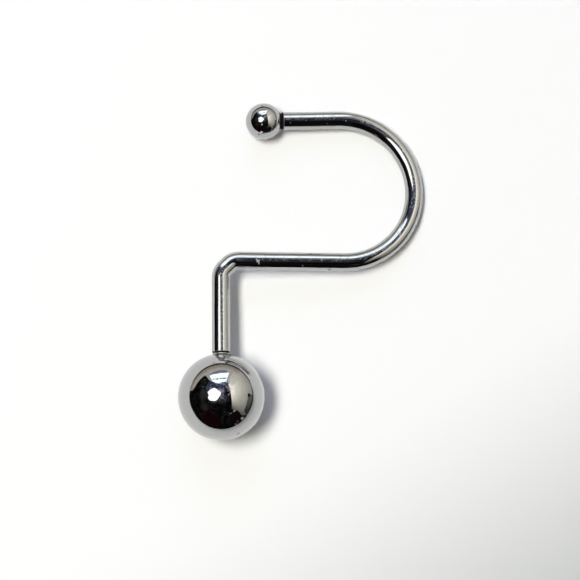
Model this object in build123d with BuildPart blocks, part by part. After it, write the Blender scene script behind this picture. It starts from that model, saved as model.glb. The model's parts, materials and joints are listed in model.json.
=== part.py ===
from build123d import *
import os
from math import acos, asin, atan2, cos, degrees, radians, sin, sqrt, tan

# A shower curtain hook: one length of round steel wire, cold bent, with a steel ball on each end.
#
# The hook is drawn in the plane that it was bent in. That plane leans, because a finished hook lies on a
# table on three places: the knob, the tip ball and the underside of the U-bend.
#
# In the bending plane the origin is the centre of the U-bend, X runs along the leg towards the U-bend and Y
# from the knob towards the tip. Sizes are in millimetres and degrees.

# The wire's route, along its axis
wire_diameter = 4.0
rod_gap = 29.0  # clear width inside the U-bend, which takes a 1 in curtain rod
closing_angle = 2.3  # how far the U-bend turns past a half circle, which keeps the hook on the rod
tip_length = 17.0  # from the end of the U-bend to the centre of the tip ball
leg_length = 27.6  # from the centre of the U-bend to the stub's axis
stub_length = 30.5  # from the leg's axis to the centre of the knob
corner_cut = 2.7  # the corner is bent in two steps, each this far from where leg and stub would cross
corner_bend_radius = 3.0  # of the wire's axis at each step

# The balls
knob_diameter = 19.0
knob_neck_radius = 0.35  # of the hollow curve between the knob and its neck
knob_groove_depth = 0.18
knob_spigot_length = 6.0
tip_diameter = 8.2
tip_neck_radius = 0.1
tip_groove_depth = 0.3
tip_spigot_length = 3.2

# The joints: each end of the wire is turned down to a spigot, and its shoulder seats on the ball's neck. Both
# are chamfered by the groove's depth, so that a V-shaped groove runs round the joint.
spigot_diameter = 3.0
spigot_clearance = 0.02  # on the radius, for the braze
spigot_chamfer = 0.3
bore_end_gap = 0.3
drill_point_angle = 118.0

wire_radius = wire_diameter / 2
knob_radius = knob_diameter / 2
tip_radius = tip_diameter / 2
spigot_radius = spigot_diameter / 2
bore_radius = spigot_radius + spigot_clearance
bend_radius = rod_gap / 2 + wire_radius

# Where the balls are, and which way each neck points, in the bending plane
closing = radians(closing_angle)
bend_end = Vector(-sin(closing), cos(closing)) * bend_radius
tip_neck_way = Vector(cos(closing), sin(closing))
tip_centre = bend_end - tip_neck_way * tip_length
knob_neck_way = Vector(0, 1)
knob_centre = Vector(-leg_length, -bend_radius - stub_length)


def neck_height(ball_radius, neck_radius):
    """From the ball's centre to where the neck's hollow curve comes down to the wire's diameter."""
    return sqrt((ball_radius + neck_radius) ** 2 - (wire_radius + neck_radius) ** 2)


def seam_height(ball_radius, neck_radius, groove_depth):
    """From the ball's centre to the face on which the wire's shoulder seats."""
    return neck_height(ball_radius, neck_radius) + groove_depth


# How the hook lies. The wire's axis falls evenly along one direction of the bending plane, downhill, and is
# lowest at the point of the U-bend that lies that way from its centre. There it is one wire radius above
# the table, and each ball's centre is one ball radius above it. How far the two centres rise over the lowest
# point gives downhill: a unit vector whose dot product with pull is bend_radius times the rises' difference.
knob_rise = knob_radius - wire_radius
tip_rise = tip_radius - wire_radius
pull = tip_centre * knob_rise - knob_centre * tip_rise
downhill_angle = atan2(pull.Y, pull.X) - acos(bend_radius * (knob_rise - tip_rise) / pull.length)
downhill = Vector(cos(downhill_angle), sin(downhill_angle))
fall = knob_rise / (bend_radius - knob_centre.dot(downhill))
to_downhill = Rotation(0, 0, degrees(downhill_angle))
leaning = Plane(to_downhill * Rotation(0, degrees(asin(fall)), 0) * to_downhill.inverse())

# The origin of the part is on the table, under the middle of the hook's box.
knob_place = leaning.from_local_coords(knob_centre)
tip_place = leaning.from_local_coords(tip_centre)
left = min(knob_place.X - knob_radius, tip_place.X - tip_radius)
right = bend_radius * sqrt(1 - leaning.z_dir.X**2) + wire_radius
front = knob_place.Y - knob_radius
back = max(bend_radius * sqrt(1 - leaning.z_dir.Y**2) + wire_radius, tip_place.Y + tip_radius)
bend_centre = Vector(-(left + right) / 2, -(front + back) / 2, wire_radius + fall * bend_radius)
bending_plane = Plane(origin=bend_centre, x_dir=leaning.x_dir, z_dir=leaning.z_dir)


def world_way(way):
    """A direction in the bending plane, as a direction of the part."""
    return bending_plane.from_local_coords(way) - bending_plane.origin


def seat_plane(ball_centre, neck_way, height):
    """The plane of a wire's shoulder: its Z points from the wire into the ball."""
    place = bending_plane.from_local_coords(ball_centre + neck_way * height)
    return Plane(origin=place, x_dir=bending_plane.z_dir, z_dir=-world_way(neck_way))


def turning_plane(ball_centre, neck_way):
    """The plane of a ball's half section: its Y is the ball's turning axis and points along the neck."""
    side = bending_plane.z_dir
    place = bending_plane.from_local_coords(ball_centre)
    return Plane(origin=place, x_dir=side, z_dir=side.cross(world_way(neck_way)))


def ball_section(plane, ball_radius, neck_radius, groove_depth, spigot_length):
    """Half section of a turned ball with its neck and its drilled blind bore, on its turning plane."""
    neck = neck_height(ball_radius, neck_radius)
    seam = neck + groove_depth
    bore_end = seam - spigot_length - bore_end_gap
    drill_tip = bore_end - bore_radius / tan(radians(drill_point_angle / 2))
    hollow_centre = (wire_radius + neck_radius, neck)
    hollow_angle = degrees(atan2(neck, wire_radius + neck_radius))
    with BuildSketch(plane) as half:
        with BuildLine():
            CenterArc((0, 0), ball_radius, -90, 90 + hollow_angle)
            CenterArc(hollow_centre, neck_radius, 180 + hollow_angle, -hollow_angle)
            Polyline(
                (wire_radius, neck),
                (wire_radius - groove_depth, seam),
                (bore_radius, seam),
                (bore_radius, bore_end),
                (0, drill_tip),
                (0, -ball_radius),
            )
        make_face()
    return half.sketch


knob_seam = seam_height(knob_radius, knob_neck_radius, knob_groove_depth)
tip_seam = seam_height(tip_radius, tip_neck_radius, tip_groove_depth)
knob_seat = seat_plane(knob_centre, knob_neck_way, knob_seam)
tip_seat = seat_plane(tip_centre, tip_neck_way, tip_seam)

# The wire, swept from the tip's shoulder round the U-bend and the corner to the knob's shoulder
with BuildPart() as bent_wire:
    with BuildLine(bending_plane):
        u_bend = CenterArc((0, 0), bend_radius, -90, 180 + closing_angle)
        Line(u_bend @ 1, tip_seat.origin)
        FilletPolyline(
            (0, -bend_radius),
            (corner_cut - leg_length, -bend_radius),
            (-leg_length, -bend_radius - corner_cut),
            knob_seat.origin,
            radius=corner_bend_radius,
        )
    with BuildSketch(knob_seat):
        Circle(wire_radius)
    sweep()
    for seat, groove_depth, spigot_length in (
        (knob_seat, knob_groove_depth, knob_spigot_length),
        (tip_seat, tip_groove_depth, tip_spigot_length),
    ):
        outward = Axis(seat.origin, seat.z_dir)
        shoulder = bent_wire.faces().filter_by(GeomType.PLANE).sort_by(outward)[-1]
        chamfer(shoulder.edges(), length=groove_depth)
        with BuildSketch(seat):
            Circle(spigot_radius)
        extrude(amount=spigot_length)
        spigot_end = bent_wire.faces().filter_by(GeomType.PLANE).sort_by(outward)[-1]
        chamfer(spigot_end.edges(), length=spigot_chamfer)

# The knob, which stops the curtain's grommet
with BuildPart() as knob_ball:
    turning = turning_plane(knob_centre, knob_neck_way)
    section = ball_section(turning, knob_radius, knob_neck_radius, knob_groove_depth, knob_spigot_length)
    revolve(section, axis=Axis(turning.origin, turning.y_dir))

# The tip ball, which blunts the wire's end and still goes through the grommet
with BuildPart() as tip_ball:
    turning = turning_plane(tip_centre, tip_neck_way)
    section = ball_section(turning, tip_radius, tip_neck_radius, tip_groove_depth, tip_spigot_length)
    revolve(section, axis=Axis(turning.origin, turning.y_dir))

bent_wire.part.label = "bent_wire"
knob_ball.part.label = "knob_ball"
tip_ball.part.label = "tip_ball"

os.makedirs("parts", exist_ok=True)
export_step(bent_wire.part, "parts/bent_wire.step")
export_step(knob_ball.part, "parts/knob_ball.step")
export_step(tip_ball.part, "parts/tip_ball.step")
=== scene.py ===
import json
import math

import bmesh
import bpy
from mathutils import Matrix, Vector


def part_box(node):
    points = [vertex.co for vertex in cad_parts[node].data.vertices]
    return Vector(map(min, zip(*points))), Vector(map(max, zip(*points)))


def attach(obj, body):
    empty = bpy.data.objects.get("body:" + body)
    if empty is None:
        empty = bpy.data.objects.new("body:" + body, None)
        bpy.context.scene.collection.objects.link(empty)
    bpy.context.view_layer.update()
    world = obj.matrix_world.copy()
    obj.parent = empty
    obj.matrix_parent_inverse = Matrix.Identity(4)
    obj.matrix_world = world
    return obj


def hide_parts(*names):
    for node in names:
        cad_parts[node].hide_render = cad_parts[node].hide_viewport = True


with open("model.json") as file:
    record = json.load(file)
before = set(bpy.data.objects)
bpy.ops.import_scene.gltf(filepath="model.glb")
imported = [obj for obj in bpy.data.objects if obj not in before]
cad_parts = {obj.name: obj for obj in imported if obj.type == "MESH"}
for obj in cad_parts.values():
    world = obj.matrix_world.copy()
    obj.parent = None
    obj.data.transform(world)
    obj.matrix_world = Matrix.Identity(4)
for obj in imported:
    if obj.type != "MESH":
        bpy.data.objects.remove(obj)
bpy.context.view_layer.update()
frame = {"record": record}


# ---- The two balls ---------------------------------------------------------------------------------------
# Solid steel balls, turned with a short hollow neck on which the wire's shoulder seats. The large one is the
# knob that stops the curtain's grommet, the small one blunts the wire's tip. They are polished and plated
# together with the wire, and dirt has settled in the groove round each joint.

seats = {mount["name"]: mount for mount in frame["record"]["mounts"]}
bend_centre = Vector(seats["rod_seat"]["pos_m"])
across = Vector(seats["rod_seat"]["axis"]).normalized()  # square to the plane that the wire was bent in
up_stub = Vector(seats["curtain_seat"]["axis"]).normalized()
along_leg = up_stub.cross(across)

wire_radius = 0.002
bend_radius = 0.0165
closing = math.radians(2.3)  # how far the U-bend turns past a half circle
knob_neck_radius, knob_groove = 0.00035, 0.00018  # the hollow neck, and the depth of the groove at its end
tip_neck_radius, tip_groove = 0.0001, 0.0003
knob_dirt, tip_dirt = 0.00027, 0.00076  # how far the dirt spreads either side of a seam
crease = math.radians(30)  # an edge that turns further than this is left sharp


def ball_place(node):
    """Centre and radius of a ball. Its low corner lies one radius from the centre, away from the neck."""
    low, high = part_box(node)
    radius = (high.z - low.z) / 2
    return low + Vector((radius, radius, radius)), radius


def neck_height(ball_radius, neck_radius):
    """From the ball's centre to where the hollow neck comes down to the wire's thickness."""
    return math.sqrt((ball_radius + neck_radius) ** 2 - (wire_radius + neck_radius) ** 2)


knob_centre, knob_radius = ball_place("knob_ball")
tip_centre, tip_radius = ball_place("tip_ball")
knob_neck_way = up_stub
tip_neck_way = along_leg * math.cos(closing) + up_stub * math.sin(closing)
knob_seam = knob_centre + knob_neck_way * (neck_height(knob_radius, knob_neck_radius) + knob_groove)
tip_seam = tip_centre + tip_neck_way * (neck_height(tip_radius, tip_neck_radius) + tip_groove)


class Shade:
    """One value in a material's nodes. Arithmetic on it adds the Math nodes that work it out."""

    def __init__(self, tree, socket=None):
        self.tree, self.socket = tree, socket

    def node(self, kind, settings=None, values=None, out=0):
        """Adds any node: its settings first, then the values or links of its sockets."""
        made = self.tree.nodes.new(kind)
        for name, setting in (settings or {}).items():
            setattr(made, name, setting)
        for name, value in (values or {}).items():
            socket = made.inputs[name]
            if isinstance(value, Shade):
                self.tree.links.new(value.socket, socket)
            else:
                socket.default_value = value
        return Shade(self.tree, made.outputs[out] if made.outputs else None)

    def output(self, key):
        """Another output of the node that gives this value."""
        return Shade(self.tree, self.socket.node.outputs[key])

    def math(self, operation, *values):
        return self.node("ShaderNodeMath", {"operation": operation}, dict(enumerate(values)))

    def __add__(self, other):
        return self.math("ADD", self, other)

    def __sub__(self, other):
        return self.math("SUBTRACT", self, other)

    def __rsub__(self, other):
        return self.math("SUBTRACT", other, self)

    def __mul__(self, other):
        return self.math("MULTIPLY", self, other)

    __radd__, __rmul__ = __add__, __mul__

    def rise(self, low, high):
        """0 below low, 1 above high, with a smooth slope between them."""
        span = {"Value": self, "From Min": low, "From Max": high}
        return self.node("ShaderNodeMapRange", {"interpolation_type": "SMOOTHSTEP"}, span)

    def blend(self, start, end):
        """The colour start where this value is 0 and end where it is 1."""
        return self.node("ShaderNodeMix", {"data_type": "RGBA"}, {0: self, 6: start, 7: end}, out=2)

    def noise(self, place, scale, detail=2.0, roughness=0.5):
        values = {"Vector": place, "Scale": scale, "Detail": detail, "Roughness": roughness}
        return self.node("ShaderNodeTexNoise", None, values)

    def distance_to(self, point):
        return self.node("ShaderNodeVectorMath", {"operation": "DISTANCE"}, {0: self, 1: point}, out=1)

    def height_over(self, point, way):
        """How far a place lies from a point, measured along a way."""
        from_point = self.node("ShaderNodeVectorMath", {"operation": "SUBTRACT"}, {0: self, 1: point})
        return self.node("ShaderNodeVectorMath", {"operation": "DOT_PRODUCT"}, {0: from_point, 1: way}, out=1)


def chrome_plate(name, grooves, marks, pale_colour, fleck_share, pattern=None):
    """Bright chrome plate with the faint waves of polishing, fine haze, pits, dust, and dirt in the grooves.

    grooves are the seams' points and directions, and how far the dirt spreads. marks are the places and radii
    of single spots, pale or dark: blemishes, except the tip ball's pale spots, which are painted highlights.
    fleck_share says how much more thickly the flecks of dust lie than on the balls. pattern gives the place
    on the surface that the polishing follows, where a piece needs one.
    """
    made = bpy.data.materials.new(name)
    made.use_nodes = True
    tree = made.node_tree
    plate = tree.nodes["Principled BSDF"]
    plate.inputs["Specular IOR Level"].default_value = 0.1  # of the dust and dirt; the metal doesn't read it
    start = Shade(tree)
    place = start.node("ShaderNodeTexCoord", out=3)
    follow = pattern(start) if pattern else place

    waves = start.noise(follow, 260.0, 1.0)
    grain = start.noise(follow, 2400.0, 3.0, 0.6)
    haze = start.noise(follow, 140.0, 4.0, 0.6).rise(0.45, 0.75)
    patches = start.noise(place, 500.0, 1.0).rise(0.40, 0.62)
    mist = start.noise(place, 3200.0, 3.0, 0.7).rise(0.46, 0.70) * patches
    tone = start.noise(follow, 1500.0, 4.0, 0.7).rise(0.30, 0.70)

    # Fine flecks of dust have settled on the side that faces up.
    dusty_side = (0, 0.28, 0.96)
    facing = start.node("ShaderNodeNewGeometry", out=1)
    lies = start.node(
        "ShaderNodeVectorMath", {"operation": "DOT_PRODUCT"}, {0: facing, 1: dusty_side}, out=1
    )
    settled = lies.rise(0.86, 0.97)
    dusty = start.noise(place, 230.0, 3.0, 0.6).rise(0.36, 0.56) * 0.75 + 0.25
    flecks = start.noise(place, 3400.0, 2.0, 0.7).rise(0.56 - fleck_share, 0.64 - fleck_share)
    flecks = flecks * dusty * settled

    # One round spot in each cell of a pattern: a few are grains of dust, and a few are pits.
    cells = {"Vector": place, "Scale": 1250.0, "Randomness": 1.0}
    spots = start.node("ShaderNodeTexVoronoi", None, cells)
    chance = start.node("ShaderNodeSeparateColor", None, {0: spots.output(1)})
    size = chance.output(1) * 0.16 + 0.03
    spot = (size - spots).rise(0.0, 0.06)
    dust_and_glints = spot * chance.rise(0.86, 0.90)
    pits = spot * (1.0 - chance.rise(0.05, 0.07))

    ragged = start.noise(place, 5200.0, 3.0, 0.7)
    pale = dark = None
    for spot_place, radius, is_pale in marks:
        rough_edge = place.distance_to(spot_place) + (ragged - 0.5) * (radius * 4.0)
        mark = 1.0 - rough_edge.rise(radius * 0.2, radius * 1.1)
        if is_pale:
            pale = mark if pale is None else mark.math("MAXIMUM", pale, mark)
        else:
            dark = mark if dark is None else mark.math("MAXIMUM", dark, mark)
    dust_and_glints = dust_and_glints.math("MAXIMUM", dust_and_glints * 0.5, flecks * 0.38)
    # Pale spots join the dust; on the tip ball they are painted highlights.
    if pale:
        dust_and_glints = dust_and_glints.math("MAXIMUM", dust_and_glints, pale * 0.9)
    pits = pits.math("MAXIMUM", pits * 0.7, dark)

    dirt = None
    for point, way, spread in grooves:
        off = place.height_over(point, way)
        near = 1.0 - off.math("ABSOLUTE", off).rise(spread * 0.6, spread)
        near = near * (1.0 - place.distance_to(point).rise(wire_radius * 1.15, wire_radius * 1.35))
        dirt = near if dirt is None else dirt.math("MAXIMUM", dirt, near)

    clear_chrome, hazy_chrome = (0.450, 0.453, 0.455, 1), (0.433, 0.435, 0.433, 1)
    dull_chrome = (0.395, 0.397, 0.398, 1)
    dust_grey, pit_brown = (0.72, 0.72, 0.71, 1), (0.05, 0.045, 0.04, 1)
    dirt_black, dirt_rust = (0.004, 0.003, 0.003, 1), (0.030, 0.006, 0.006, 1)
    rusty = start.noise(place, 1400.0, 2.0, 0.6).rise(0.48, 0.60)
    dirt_colour = rusty.blend(dirt_black, dirt_rust)
    colour = haze.blend(clear_chrome, hazy_chrome)
    colour = (tone * 0.7).blend(colour, dull_chrome)
    colour = dust_and_glints.blend(colour, dust_grey)
    # The pale spots' colour; on the tip ball this paints highlights.
    if pale:
        colour = pale.blend(colour, (*pale_colour, 1))
    colour = pits.blend(colour, pit_brown)
    colour = dirt.blend(colour, dirt_colour)
    roughness = haze * 0.02 + mist * 0.12 + 0.02 + dust_and_glints * 0.45 + pits * 0.35 + dirt * 0.6
    height = waves * 1.0 + grain * 0.02 - pits * 0.3
    wave_depth = 0.000006
    normal = start.node("ShaderNodeBump", None, {"Height": height, "Strength": 1.0, "Distance": wave_depth})
    for socket, value in (
        ("Base Color", colour),
        ("Metallic", 1.0 - dirt.math("MAXIMUM", dirt, dust_and_glints)),
        ("Roughness", roughness),
        ("Normal", normal),
    ):
        tree.links.new(value.socket, plate.inputs[socket])
    return made


def turned_ball(name, centre, neck_way, ball_radius, neck_radius, groove_depth, sides):
    """A closed ball with its neck, turned from a profile about the line through centre along neck_way."""
    ball_steps, neck_steps = 120, 12
    neck = neck_height(ball_radius, neck_radius)
    meet = math.atan2(neck, wire_radius + neck_radius)
    profile = []
    for step in range(ball_steps + 1):
        turn = -math.pi / 2 + (math.pi / 2 + meet) * step / ball_steps
        profile.append((ball_radius * math.cos(turn), ball_radius * math.sin(turn)))
    for step in range(1, neck_steps + 1):
        turn = meet * (1 - step / neck_steps)
        profile.append((
            wire_radius + neck_radius - neck_radius * math.cos(turn),
            neck - neck_radius * math.sin(turn),
        ))
    profile += [(wire_radius - groove_depth, neck + groove_depth), (0.0, neck + groove_depth)]

    turned = bmesh.new()
    side_way = neck_way.cross(across)
    turns = [2 * math.pi * step / sides for step in range(sides)]
    spokes = [across * math.cos(turn) + side_way * math.sin(turn) for turn in turns]
    foot, *middle, top = profile  # the first and the last lie on the axis, so each is one point and no ring
    foot_point, top_point = (turned.verts.new(centre + neck_way * up) for _, up in (foot, top))
    rings = [
        [turned.verts.new(centre + neck_way * up + spoke * out) for spoke in spokes] for out, up in middle
    ]
    for step in range(sides):
        following = (step + 1) % sides
        turned.faces.new((foot_point, rings[0][following], rings[0][step]))
        turned.faces.new((top_point, rings[-1][step], rings[-1][following]))
        for lower, upper in zip(rings, rings[1:]):
            turned.faces.new((lower[step], lower[following], upper[following], upper[step]))
    bmesh.ops.recalc_face_normals(turned, faces=turned.faces)
    for face in turned.faces:
        face.smooth = True
    for edge in turned.edges:
        edge.smooth = edge.calc_face_angle(0.0) < crease
    mesh = bpy.data.meshes.new(name)
    turned.to_mesh(mesh)
    turned.free()
    ball = bpy.data.objects.new(name, mesh)
    bpy.context.scene.collection.objects.link(ball)
    return ball


def on_ball(centre, radius, bearing, rise):
    """A place on a ball. Bearings turn from +X to +Y, rises go up from level."""
    turn, up = math.radians(bearing), math.radians(rise)
    way = Vector((math.cos(up) * math.cos(turn), math.cos(up) * math.sin(turn), math.sin(up)))
    return centre + way * radius


knob_marks = [
    (on_ball(knob_centre, knob_radius, bearing, rise), size, is_pale)
    for bearing, rise, size, is_pale in ((-66, 21, 0.00036, False), (103, 41, 0.00024, False))
]
# The two pale spots on the tip ball are painted highlights: small white glints.
tip_marks = [
    (on_ball(tip_centre, tip_radius, bearing, rise), size, is_pale)
    for bearing, rise, size, is_pale in (
        (99, 44, 0.0003, False),
        (-109, 28, 0.0003, False),
        (-101, 41, 0.0003, True),
        (-109, 67, 0.0002, True),
    )
]
for name, node, centre, way, radius, neck_radius, groove_depth, seam, dirt, marks, sides in (
    (
        "polished_knob", "knob_ball", knob_centre, knob_neck_way, knob_radius,
        knob_neck_radius, knob_groove, knob_seam, knob_dirt, knob_marks, 160,
    ),
    (
        "polished_tip", "tip_ball", tip_centre, tip_neck_way, tip_radius,
        tip_neck_radius, tip_groove, tip_seam, tip_dirt, tip_marks, 128,
    ),
):
    ball = turned_ball(name, centre, way, radius, neck_radius, groove_depth, sides)
    # pale_colour, near white, paints the tip ball's highlights.
    ball_plate = chrome_plate(
        name + "_chrome", [(seam, way, dirt)], marks, pale_colour=(0.95, 0.95, 0.94), fleck_share=0.0
    )
    ball.data.materials.append(ball_plate)
    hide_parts(node)
    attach(ball, "root")


# ---- The wire --------------------------------------------------------------------------------------------
# Round steel wire, drawn through a die and then cold bent in one plane: a U-bend that hangs on the rod, a
# straight leg, and a corner that is bent in two steps to the stub. Each end butts on a ball's neck. The
# polishing left faint lines along it, and the plating has small nicks where it has rubbed.

corner_cut = 0.0027
corner_bend_radius = 0.003
wire_tip_dirt = 0.00057  # how far the dirt spreads along the wire from the tip's seam
bend_gap = 0.00001  # keeps the two halves of the U-bend from ending on one and the same point


def in_plane(along, up):
    """A place in the plane that the wire was bent in, measured from the centre of the U-bend."""
    return bend_centre + along_leg * along + up_stub * up


stub_line = (knob_centre - bend_centre).dot(along_leg)
route = [  # each corner of the route, with the radius that it is bent to
    (tip_seam, 0.0),
    (tip_seam + tip_neck_way * tip_groove, 0.0),
    (in_plane(bend_radius, bend_radius * math.tan(math.pi / 4 + closing / 2)), bend_radius - bend_gap),
    (in_plane(bend_radius, -bend_radius), bend_radius - bend_gap),
    (in_plane(stub_line + corner_cut, -bend_radius), corner_bend_radius),
    (in_plane(stub_line, -bend_radius - corner_cut), corner_bend_radius),
    (knob_seam + knob_neck_way * knob_groove, 0.0),
    (knob_seam, 0.0),
]
route_curve = bpy.data.curves.new("wire_route", "CURVE")
route_curve.dimensions = "3D"
run = route_curve.splines.new("POLY")
run.points.add(len(route) - 1)
for point, (place, radius) in zip(run.points, route):
    point.co, point.radius = (*place, 1.0), radius
bent_wire = bpy.data.objects.new("drawn_wire", route_curve)
bpy.context.scene.collection.objects.link(bent_wire)

bending = bpy.data.node_groups.new("bend_wire_along_route", "GeometryNodeTree")
face_in = bending.interface
for socket_name, kind, in_out in (
    ("Route", "NodeSocketGeometry", "INPUT"),
    ("Wire Radius", "NodeSocketFloat", "INPUT"),
    ("Tip Bevel", "NodeSocketFloat", "INPUT"),
    ("Knob Bevel", "NodeSocketFloat", "INPUT"),
    ("Bend Steps", "NodeSocketInt", "INPUT"),
    ("Sides", "NodeSocketInt", "INPUT"),
    ("Plate", "NodeSocketMaterial", "INPUT"),
    ("Wire", "NodeSocketGeometry", "OUTPUT"),
):
    face_in.new_socket(socket_name, in_out=in_out, socket_type=kind)
given = {socket.name: Shade(bending, socket) for socket in bending.nodes.new("NodeGroupInput").outputs}
start = Shade(bending)
bend_radius_here = start.node("GeometryNodeInputRadius")
bent = start.node(
    "GeometryNodeFilletCurve",
    {"mode": "POLY"},
    {"Curve": given["Route"], "Count": given["Bend Steps"], "Radius": bend_radius_here},
)
so_far = start.node("GeometryNodeSplineParameter", out=1)
length = start.node("GeometryNodeSplineLength")
to_go = length - so_far
thickness = given["Wire Radius"]
for from_end, bevel in ((so_far, given["Tip Bevel"]), (to_go, given["Knob Bevel"])):
    thickness = thickness - (bevel - from_end.math("MINIMUM", from_end, bevel))
bent = start.node(
    "GeometryNodeStoreNamedAttribute",
    {"data_type": "FLOAT", "domain": "POINT"},
    {"Geometry": bent, "Name": "along", "Value": so_far},
)
rim = start.node(
    "GeometryNodeCurvePrimitiveCircle", {"mode": "RADIUS"}, {"Resolution": given["Sides"], "Radius": 1.0}
)
rim = start.node(
    "GeometryNodeStoreNamedAttribute",
    {"data_type": "FLOAT_VECTOR", "domain": "POINT"},
    {"Geometry": rim, "Name": "rim", "Value": start.node("GeometryNodeInputPosition")},
)
wire_mesh = start.node(
    "GeometryNodeCurveToMesh",
    None,
    {"Curve": bent, "Profile Curve": rim, "Scale": thickness, "Fill Caps": True},
)
edge_angle = start.node("GeometryNodeInputMeshEdgeAngle")
sharp = edge_angle.math("GREATER_THAN", edge_angle, crease)
wire_mesh = start.node(
    "GeometryNodeSetShadeSmooth",
    {"domain": "EDGE"},
    {"Geometry": wire_mesh, "Selection": sharp, "Shade Smooth": False},
)
wire_mesh = start.node("GeometryNodeRealizeInstances", None, {"Geometry": wire_mesh})
wire_mesh = start.node("GeometryNodeSetMaterial", None, {"Geometry": wire_mesh, "Material": given["Plate"]})
bending.links.new(wire_mesh.socket, bending.nodes.new("NodeGroupOutput").inputs["Wire"])


def straightened(start):
    """The place on the wire as it was before bending, with the draw lines along Z."""
    rim = start.node("ShaderNodeAttribute", {"attribute_name": "rim"}, out=1)
    side = start.node("ShaderNodeSeparateXYZ", None, {0: rim})
    along = start.node("ShaderNodeAttribute", {"attribute_name": "along"}, out=2)
    drawn_out = 0.25  # the pattern is four times as long along the wire as across it
    place = {0: side * wire_radius, 1: side.output(1) * wire_radius, 2: along * drawn_out}
    return start.node("ShaderNodeCombineXYZ", None, place)


wire_marks = [
    (in_plane(along, up) + across * above, size, is_pale)
    for along, up, above, size, is_pale in (
        (-0.01956, -0.01692, 0.00196, 0.00029, True),
        (-0.01984, -0.01662, 0.002, 0.00017, True),
        (-0.0192, -0.01679, 0.00198, 0.00018, True),
        (-0.01924, -0.01722, 0.00187, 0.00017, True),
        (-0.01932, -0.0175, 0.00173, 0.0001, True),
        (-0.02364, -0.01505, 0.00138, 0.00015, True),
        (-0.0076, -0.01506, 0.00139, 0.00036, False),
        (-0.0066, -0.01506, 0.00139, 0.00024, False),
        (-0.0057, -0.01506, 0.00139, 0.0003, False),
        (-0.00324, -0.01844, 0.00049, 0.00048, False),
        (0.00782, 0.01284, 0.00136, 0.0001, True),
        (-0.00826, 0.01572, 0.00184, 0.00014, True),
        (-0.00342, 0.01523, 0.00154, 0.00012, True),
        (0.00089, 0.01582, 0.00189, 0.00013, True),
    )
]
wire_grooves = [(knob_seam, knob_neck_way, knob_dirt), (tip_seam, tip_neck_way, wire_tip_dirt)]
wire_plate = chrome_plate(
    "wire_chrome", wire_grooves, wire_marks,
    pale_colour=(0.55, 0.55, 0.59), fleck_share=0.045, pattern=straightened,
)
bend = bent_wire.modifiers.new("bend", "NODES")
bend.node_group = bending
bend_inputs = {
    "Wire Radius": wire_radius,
    "Tip Bevel": tip_groove,
    "Knob Bevel": knob_groove,
    "Bend Steps": 64,
    "Sides": 96,
    "Plate": wire_plate,
}
for item in face_in.items_tree:
    if item.name in bend_inputs:
        bend[item.identifier] = bend_inputs[item.name]
depsgraph = bpy.context.evaluated_depsgraph_get()
mesh = bpy.data.meshes.new_from_object(bent_wire.evaluated_get(depsgraph))
bpy.data.objects.remove(bent_wire)
mesh.name = "drawn_wire"
drawn_wire = bpy.data.objects.new("drawn_wire", mesh)
bpy.context.scene.collection.objects.link(drawn_wire)
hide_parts("bent_wire")
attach(drawn_wire, "root")


# ---- The table -------------------------------------------------------------------------------------------
# A white table top on which the hook lies, and a wider floor at its level that only the camera sees, so that
# the chrome mirrors the end of the table but no edge of it shows. Far off the floor fades to plain white.

table_left, table_right, table_front, table_back = -0.26, 0.24, -0.155, 0.095
floor_reach = 8.0
floor_drop = 0.00005  # keeps the floor out of the table top's own plane


def flat_panel(name, corners, finish, spots=((0, 0), (1, 0), (1, 1), (0, 1))):
    """A flat piece of the surroundings. spots are its corners' places on its UV map."""
    mesh = bpy.data.meshes.new(name)
    mesh.from_pydata([tuple(corner) for corner in corners], [], [tuple(range(len(corners)))])
    mesh.materials.append(finish)
    spread = mesh.uv_layers.new(name="spread")
    for corner, spot in zip(spread.uv, spots):
        corner.vector = spot
    panel = bpy.data.objects.new(name, mesh)
    bpy.context.scene.collection.objects.link(panel)
    return panel


def bare_material(name):
    """A new material that has no nodes yet, and the place where they start."""
    made = bpy.data.materials.new(name)
    made.use_nodes = True
    made.node_tree.nodes.clear()
    return made, Shade(made.node_tree)


def is_looked_at(start):
    """1 for a ray from the camera or a mirrored or refracted one, and 0 for one that lights a surface."""
    ray = start.node("ShaderNodeLightPath")
    kinds = ray.output("Is Camera Ray") + ray.output("Is Glossy Ray") + ray.output("Is Transmission Ray")
    return kinds.math("MINIMUM", kinds, 1.0)


white_top, start = bare_material("white_table_top")
place = start.node("ShaderNodeTexCoord", out=3)
distance = start.node("ShaderNodeVectorMath", {"operation": "LENGTH"}, {0: place}, out=1)
# Painted shade: the table's white is painted greyer to the right and the front, where the light is weaker.
dim_way = (0.5, -0.866, 0)  # the white grows dimmer to the right and the front
dimmer = place.height_over((0, 0, 0), dim_way).rise(0.030, 0.115)
near_colour = dimmer.blend((0.965, 0.965, 0.960, 1), (0.530, 0.545, 0.538, 1))
near = start.node("ShaderNodeBsdfDiffuse", None, {"Color": near_colour})
far = start.node("ShaderNodeEmission", None, {"Color": (1, 1, 1, 1), "Strength": 1.0})
fade = distance.rise(0.12, 0.30) * is_looked_at(start)
top = start.node("ShaderNodeMixShader", None, {0: fade, 1: near, 2: far})
start.node("ShaderNodeOutputMaterial", None, {"Surface": top})

table_corners = [
    (table_left, table_front, 0),
    (table_right, table_front, 0),
    (table_right, table_back, 0),
    (table_left, table_back, 0),
]
flat_panel("table_top", table_corners, white_top)
floor_corners = [
    (x * floor_reach, y * floor_reach, -floor_drop) for x, y in ((-1, -1), (1, -1), (1, 1), (-1, 1))
]
floor = flat_panel("floor", floor_corners, white_top)
floor.visible_glossy = False


# ---- The room --------------------------------------------------------------------------------------------
# Polished chrome shows its surroundings, so a plain room stands round the table for it to mirror: a cream
# wall, a window in a grey one, a low tan settee, a cupboard, a round ceiling lamp, and dim shapes. Only
# reflections see it, so that none of it lights the table or shades it. Each piece glows, with the room's
# light and shade painted into its colour.


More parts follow.
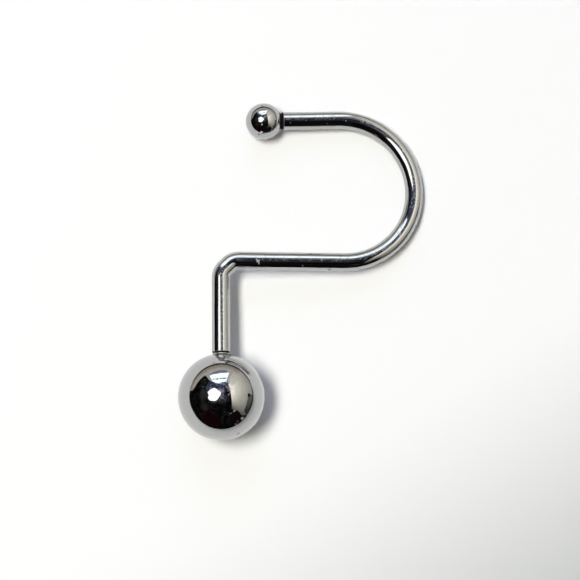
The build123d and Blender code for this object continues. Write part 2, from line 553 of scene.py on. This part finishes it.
def glowing(name, low_colour, high_colour, fades=(0, 0, 0, 0), dim_left=0.0, mottle=0.0):
    """A panel's finish. Its colour runs from its foot to its top.

    fades says how far it fades out from its left, right, foot and top, as shares of the panel. dim_left is
    how much darker painted shade makes it at the left, and mottle how uneven. The room's light and shade
    are painted into this glow.
    """
    made, start = bare_material(name)
    spread = start.node("ShaderNodeUVMap", {"uv_map": "spread"})
    side = start.node("ShaderNodeSeparateXYZ", None, {0: spread})
    up = side.output(1)
    colour = up.blend((*low_colour, 1), (*high_colour, 1))
    strength = side.rise(0.0, 0.75) * dim_left + (1.0 - dim_left)
    if mottle:
        place = start.node("ShaderNodeTexCoord", out=3)
        strength = strength * ((start.noise(place, 4.0, 4.0, 0.7) - 0.5) * mottle + 1.0)
    shown = None
    for run, fade in zip((side, 1.0 - side, up, 1.0 - up), fades):
        if fade:
            shown = run.rise(0.0, fade) if shown is None else shown * run.rise(0.0, fade)
    surface = start.node("ShaderNodeEmission", None, {"Color": colour, "Strength": strength})
    if shown is not None:
        clear = start.node("ShaderNodeBsdfTransparent")
        surface = start.node("ShaderNodeMixShader", None, {0: shown, 1: clear, 2: surface})
    start.node("ShaderNodeOutputMaterial", None, {"Surface": surface})
    return made


def for_mirroring_only(panel):
    panel.visible_camera = panel.visible_diffuse = panel.visible_shadow = False


def towards(bearing, rise, distance):
    """A place at a distance from the knob. Bearings turn from +X to +Y, rises go up from level."""
    return on_ball(knob_centre, distance, bearing, rise)


def upright(name, facing, left, right, low, high, distance, finish):
    """An upright panel square to one bearing. left and right are bearings, low and high its rises there."""
    out = towards(facing, 0, distance) - knob_centre
    side = Vector((-out.y, out.x, 0))
    reach = [math.tan(math.radians(bearing - facing)) for bearing in (left, right)]
    heights = [distance * math.tan(math.radians(rise)) for rise in (low, high)]
    corners = [
        knob_centre + out + side * reach[which] + Vector((0, 0, heights[level]))
        for which, level in ((0, 0), (1, 0), (1, 1), (0, 1))
    ]
    for_mirroring_only(flat_panel(name, corners, finish))


def shaped(name, distance, outline, finish):
    """A flat panel that faces the knob. The corners of its outline are given as bearings and rises."""
    ways = [towards(bearing, rise, 1.0) - knob_centre for bearing, rise in outline]
    middle = sum(ways, Vector()).normalized()
    side = Vector((0, 0, 1)).cross(middle).normalized()
    up = middle.cross(side)
    corners = [way * (distance / way.dot(middle)) for way in ways]
    across_it = [corner.dot(side) for corner in corners]
    up_it = [corner.dot(up) for corner in corners]
    width, height = max(across_it) - min(across_it), max(up_it) - min(up_it)
    spots = [((x - min(across_it)) / width, (y - min(up_it)) / height) for x, y in zip(across_it, up_it)]
    for_mirroring_only(flat_panel(name, [knob_centre + corner for corner in corners], finish, spots))


def soft_spot(name, bearing, rise, distance, half_width, half_height, colour, core=0.0):
    """A round glow that faces the knob and fades out from its core. Its half sizes are in degrees."""
    made, start = bare_material(name)
    spread = start.node("ShaderNodeUVMap", {"uv_map": "spread"})
    shown = 1.0 - (spread.distance_to((0.5, 0.5, 0.0)) * 2.0).rise(core, 1.0)
    glow = start.node("ShaderNodeEmission", None, {"Color": (*colour, 1), "Strength": 1.0})
    clear = start.node("ShaderNodeBsdfTransparent")
    surface = start.node("ShaderNodeMixShader", None, {0: shown, 1: clear, 2: glow})
    start.node("ShaderNodeOutputMaterial", None, {"Surface": surface})
    middle = towards(bearing, rise, distance)
    out = (middle - knob_centre).normalized()
    side = Vector((-math.sin(math.radians(bearing)), math.cos(math.radians(bearing)), 0))
    up = out.cross(side)
    side = side * distance * math.tan(math.radians(half_width))
    up = up * distance * math.tan(math.radians(half_height))
    corners = [middle + side * right + up * top for right, top in ((-1, -1), (1, -1), (1, 1), (-1, 1))]
    for_mirroring_only(flat_panel(name, corners, made))


dome_radius = 14.0
dome = bmesh.new()
bmesh.ops.create_uvsphere(dome, u_segments=96, v_segments=48, radius=dome_radius)
mesh = bpy.data.meshes.new("dark_room")
dome.to_mesh(mesh)
dome.free()
dark, start = bare_material("dark_room")
place = start.node("ShaderNodeTexCoord", out=3)
shapes = start.noise(place, 0.45, 6.0, 0.75).rise(0.46, 0.76)
colour = shapes.blend((0.003, 0.0025, 0.0025, 1), (0.045, 0.042, 0.044, 1))
glow = start.node("ShaderNodeEmission", None, {"Color": colour, "Strength": 1.0})
start.node("ShaderNodeOutputMaterial", None, {"Surface": glow})
mesh.materials.append(dark)
dark_room = bpy.data.objects.new("dark_room", mesh)
bpy.context.scene.collection.objects.link(dark_room)
for_mirroring_only(dark_room)

# Dim glows on the dark side of the room. Their names are guesses.
for name, bearing, rise, distance, half_width, half_height, colour, core in (
    ("maroon_curtain", 245, 18, 5.2, 28, 26, (0.016, 0.002, 0.004), 0.3),
    ("grey_corner", 176, 40, 5.2, 22, 14, (0.040, 0.041, 0.038), 0.2),
    ("far_shapes", 212, 36, 5.1, 16, 16, (0.034, 0.036, 0.030), 0.1),
    ("blue_dusk", 100, 60, 4.8, 38, 20, (0.042, 0.058, 0.120), 0.6),
    ("dusk_left", 140, 50, 4.76, 14, 12, (0.065, 0.078, 0.150), 0.2),
    ("lamp_halo", 168, 71, 4.7, 26, 26, (0.075, 0.078, 0.090), 0.55),
    ("lamp_haze", 102, 79, 4.6, 15, 11, (0.56, 0.58, 0.66), 0.0),
    ("lamp_veil", 300, 82, 4.5, 20, 20, (0.032, 0.027, 0.042), 0.3),
    ("lamp_bloom", 270, 88.5, 4.4, 11, 11, (0.26, 0.24, 0.34), 0.0),
):
    soft_spot(name, bearing, rise, distance, half_width, half_height, colour, core)

# Painted light and shade: the cream wall is dark at its foot and its left, and brightest near its top.
cream = glowing("cream_wall", (0.51, 0.50, 0.43), (2.30, 2.17, 1.90), (0.01, 0.03, 0, 0.05), 0.90, 0.25)
upright("cream_wall", 10, -50, 59.5, -3.0, 65.3, 1.60, cream)
# Painted light: a brighter patch high on the cream wall.
soft_spot("bright_patch", 25, 57, 1.58, 15, 7.5, (1.95, 1.83, 1.62), 0.1)
soft_spot("wall_top", 50, 62, 1.64, 15, 6, (0.36, 0.36, 0.38))
# Painted shade: a dark strip along the cream wall's foot, just beyond the table's edge.
edge_shade = glowing("edge_shade", (0.05, 0.046, 0.036), (0.05, 0.046, 0.036))
upright("edge_shade", 10, -50, 60.5, -8, -2.8, 1.58, edge_shade)
# Painted shade: dark strips that stand along the table's back and right edges.
slate = glowing("slate_edge_shade", (0.008, 0.010, 0.013), (0.008, 0.010, 0.013))
olive = glowing("olive_edge_shade", (0.012, 0.013, 0.010), (0.012, 0.013, 0.010))
for name, start_corner, start_height, end_corner, end_height, finish in (
    ("back_edge_shade", (table_right, table_back), 0.011, (table_left, table_back), 0.011, slate),
    ("right_edge_shade", (table_right, table_front), 0.028, (table_right, table_back), 0.006, olive),
):
    low_edge = [(*start_corner, 0), (*end_corner, 0)]
    high_edge = [(*end_corner, end_height), (*start_corner, start_height)]
    for_mirroring_only(flat_panel(name, low_edge + high_edge, finish))
grey = glowing("grey_wall", (0.68, 0.64, 0.59), (0.65, 0.66, 0.68), (0.02, 0.02, 0, 0.05), 0.0, 0.2)
grey_outline = [
    (58.5, 8), (127, 8), (127, 38), (124, 44), (118, 48), (112, 53),
    (100, 56.5), (84, 54.5), (76, 52), (68, 50.5), (60, 49),
]
shaped("grey_wall", 1.74, grey_outline, grey)
daylight = glowing("window_light", (2.5, 2.7, 2.75), (2.5, 2.75, 2.9), (0.01, 0.01, 0, 0))
window_outline = [
    (71.8, 22.5), (80, 26), (90, 28), (100, 28.5), (110, 27.5), (120, 25.5),
    (120.5, 45), (116.5, 50), (109.5, 54.5), (101, 57), (90, 55), (76, 51.5), (71.8, 50),
]
shaped("window", 1.60, window_outline, daylight)
# Painted shade: the wall's end is darker at its foot.
wall_end = glowing("cream_wall_end", (0.635, 0.62, 0.53), (1.26, 1.22, 1.08), (0.50, 0.16, 0, 0.32), 0.0, 0.2)
wall_end_outline = [
    (43, -3), (63, -3), (67, 20), (68.5, 32), (67.5, 42), (65, 50), (60, 54.5), (52, 58), (43, 60),
]
shaped("cream_wall_end", 1.57, wall_end_outline, wall_end)
rail = glowing("window_rail", (1.30, 1.55, 1.62), (1.30, 1.55, 1.62), (0.05, 0.05, 0.2, 0.2), 0.0, 0.8)
rail_outline = [
    (73, 38.5), (84, 41), (97, 42), (108, 41), (119.5, 37.5),
    (119.5, 41), (108, 44.5), (97, 45.5), (84, 44.5), (73, 42),
]
shaped("window_rail", 1.58, rail_outline, rail)
bar = glowing("window_bar", (0.06, 0.20, 0.15), (0.06, 0.20, 0.15), (0.06, 0.06, 0.12, 0.12), 0.0, 1.0)
shaped("window_bar", 1.56, [(75.5, 39.5), (85, 41.2), (96, 41.9), (96, 45.6), (85, 45.2), (75.5, 43)], bar)
shaped("window_bar_middle", 1.56, [(101.5, 41.8), (108, 41.2), (108, 45.6), (101.5, 46.2)], bar)
shaped("window_bar_end", 1.56, [(112, 40.2), (116, 39), (116, 42), (112, 43.2)], bar)
sill = glowing("window_sill", (0.30, 0.33, 0.42), (0.26, 0.31, 0.46), (0.10, 0.12, 0.1, 0.12))
sill_outline = [
    (76, 17), (95, 18), (104, 20), (112, 22), (121, 23),
    (121, 25.8), (112, 27.2), (100, 28.8), (88, 28.3), (76, 24.6),
]
shaped("window_sill", 1.54, sill_outline, sill)
soft_spot("window_top", 85, 57.8, 1.55, 10, 4.8, (0.24, 0.30, 0.52), 0.45)

# Painted shade: the cupboard is darker at its left and its foot.
cupboard = glowing(
    "grey_cupboard", (0.155, 0.152, 0.146), (0.195, 0.195, 0.175), (0.02, 0.02, 0, 0.08), 0.78, 0.4
)
cupboard_outline = [(325, -3.5), (366.5, -3.5), (366.5, 16.5), (345, 17), (329.5, 15), (325, 9)]
shaped("cupboard", 1.50, cupboard_outline, cupboard)
shelf = glowing("dark_shelf", (0.008, 0.009, 0.005), (0.008, 0.009, 0.005), (0.08, 0.08, 0.08, 0.08))
upright("dark_shelf", 3.5, -1, 6.5, 8.5, 17.0, 1.48, shelf)
# A dark shape with pale and red spots by it. Their names are guesses too.
chair = glowing("dark_chair", (0.004, 0.003, 0.003), (0.010, 0.008, 0.009))
chair_outline = [
    (288, -3), (309, -3), (312.5, 9), (321, -3), (325.5, -3), (317, 11), (317.5, 18),
    (319.5, 24.5), (318, 29), (318.5, 33), (300, 35.5), (293, 33), (289, 22),
]
shaped("chair", 1.30, chair_outline, chair)
for name, bearing, rise, distance, half_width, half_height, colour, core in (
    ("pale_back", 311, 36.5, 1.28, 5, 2.6, (0.62, 0.60, 0.58), 0.3),
    ("pale_arm", 298, 36.5, 1.28, 5, 2.2, (0.26, 0.25, 0.25), 0.3),
    ("pale_cup", 314, 2, 1.32, 4.2, 7, (0.52, 0.52, 0.51), 0.3),
    ("red_cup", 303.5, 3, 1.26, 3.4, 6.5, (0.15, 0.060, 0.045), 0.3),
    ("pale_foot", 297.5, -1.5, 1.26, 2.0, 3.5, (0.48, 0.45, 0.46), 0.3),
):
    soft_spot(name, bearing, rise, distance, half_width, half_height, colour, core)

settee_distance = 1.2
settee_start, settee_end = 46, 168.5  # bearings, as are the next two
rounding_width, slope_start, slope_width = 12.0, 122, 42
settee_top, slope_drop = 17.5, 7.0  # rises, as are the next two
settee_foot, lowest_top = -3.8, -3.7
settee_steps = 60
settee = bmesh.new()
spread = settee.loops.layers.uv.new("spread")
low_row, high_row = [], []
for step in range(settee_steps + 1):
    bearing = settee_start + (settee_end - settee_start) * step / settee_steps
    rounding = min(1.0, (settee_end - bearing) / rounding_width)
    slope = max(0.0, (bearing - slope_start) / slope_width)
    top = (settee_top - slope_drop * slope) * math.sqrt(1 - (1 - rounding) ** 2)
    low_row.append(settee.verts.new(towards(bearing, settee_foot, settee_distance)))
    high_row.append(settee.verts.new(towards(bearing, max(top, lowest_top), settee_distance)))
for step in range(settee_steps):
    face = settee.faces.new((low_row[step], low_row[step + 1], high_row[step + 1], high_row[step]))
    for corner, (run, up) in zip(face.loops, ((step, 0), (step + 1, 0), (step + 1, 1), (step, 1))):
        corner[spread].uv = (run / settee_steps, up)
mesh = bpy.data.meshes.new("tan_settee")
settee.to_mesh(mesh)
settee.free()
# Painted shade: the tan cloth is darker at its foot.
tan_cloth = glowing("tan_cloth", (0.28, 0.245, 0.185), (0.84, 0.785, 0.69), (0.12, 0, 0, 0), 0.0, 0.4)
mesh.materials.append(tan_cloth)
tan_settee = bpy.data.objects.new("tan_settee", mesh)
bpy.context.scene.collection.objects.link(tan_settee)
for_mirroring_only(tan_settee)

lamp_bearing, lamp_rise, lamp_distance = 168, 71, 1.2
lamp_way = (towards(lamp_bearing, lamp_rise, 1.0) - knob_centre).normalized()
lamp_centre = knob_centre + lamp_way * lamp_distance
lamp_side = Vector((0, 0, 1)).cross(lamp_way).normalized()
lamp_up = lamp_way.cross(lamp_side)
lamp_reaches = (  # from its centre to its edge, in degrees, all the way round
    16.8, 16.7, 15.5, 14.0, 16.7, 17.4, 13.6, 14.4, 16.5, 15.5, 16.8, 18.5, 14.6, 19.3, 19.0,
)
lamp_corners = []
for step, degrees in enumerate(lamp_reaches):
    turn = 2 * math.pi * step / len(lamp_reaches)
    reach = lamp_distance * math.tan(math.radians(degrees))
    lamp_corners.append(lamp_centre + (lamp_side * math.cos(turn) + lamp_up * math.sin(turn)) * reach)
lamp_mesh = bpy.data.meshes.new("ceiling_lamp")
lamp_mesh.from_pydata([tuple(corner) for corner in lamp_corners], [], [tuple(range(len(lamp_corners)))])
lamp_mesh.materials.append(glowing("lamp_light", (3.0, 2.95, 2.8), (3.0, 2.95, 2.8)))
ceiling_lamp = bpy.data.objects.new("ceiling_lamp", lamp_mesh)
bpy.context.scene.collection.objects.link(ceiling_lamp)
for_mirroring_only(ceiling_lamp)


# ---- The light and the camera ----------------------------------------------------------------------------
# A broad warm lamp overhead to the left, a cooler one from the window's side and a soft fill from all round.
# The camera looks down on the table, a little from the front.


def soft_lamp(name, place, length, width, power, colour):
    """An oval lamp that faces the knob, with its length level."""
    light = bpy.data.lights.new(name, "AREA")
    light.shape, light.energy, light.color = "ELLIPSE", power, colour
    light.size, light.size_y = length, width
    lamp = bpy.data.objects.new(name, light)
    lamp.location = place
    lamp.rotation_euler = (place - knob_centre).to_track_quat("Z", "Y").to_euler()
    lamp.visible_glossy = lamp.visible_camera = False
    bpy.context.scene.collection.objects.link(lamp)


soft_lamp("lamp_overhead", towards(175, 73, 2.0), 0.85, 0.42, 33.6, (1.0, 0.995, 0.950))
soft_lamp("lamp_window", towards(95, 42, 1.5), 0.8, 0.8, 2.6, (0.48, 0.59, 1.15))

world = bpy.data.worlds.new("fill")
bpy.context.scene.world = world
world.use_nodes = True
world.node_tree.nodes.clear()
start = Shade(world.node_tree)
looked_at = is_looked_at(start)
fill_strength = 0.21  # of the light that it throws; the camera sees it at full strength
strength = looked_at * (1.0 - fill_strength) + fill_strength
warmth = looked_at.blend((1.0, 0.98, 0.92, 1), (1, 1, 1, 1))
fill = start.node("ShaderNodeBackground", None, {"Color": warmth, "Strength": strength})
start.node("ShaderNodeOutputWorld", None, {"Surface": fill})

bpy.context.scene.view_settings.view_transform = "Standard"

camera_data = bpy.data.cameras.new("camera")
camera_data.sensor_width = 36.0
camera_data.lens = 103.81
camera = bpy.data.objects.new("camera", camera_data)
bpy.context.scene.collection.objects.link(camera)
camera_place = (-0.019432, -0.049346, 0.375339)
tilt, lean, roll = math.radians(6.9071), math.radians(-2.5265), math.radians(-0.388)
turned_way = Matrix.Rotation(roll, 4, "Z") @ Matrix.Rotation(lean, 4, "Y") @ Matrix.Rotation(tilt, 4, "X")
camera.matrix_world = Matrix.Translation(camera_place) @ turned_way
camera_data.clip_start, camera_data.clip_end = 0.01, 20.0
bpy.context.scene.camera = camera
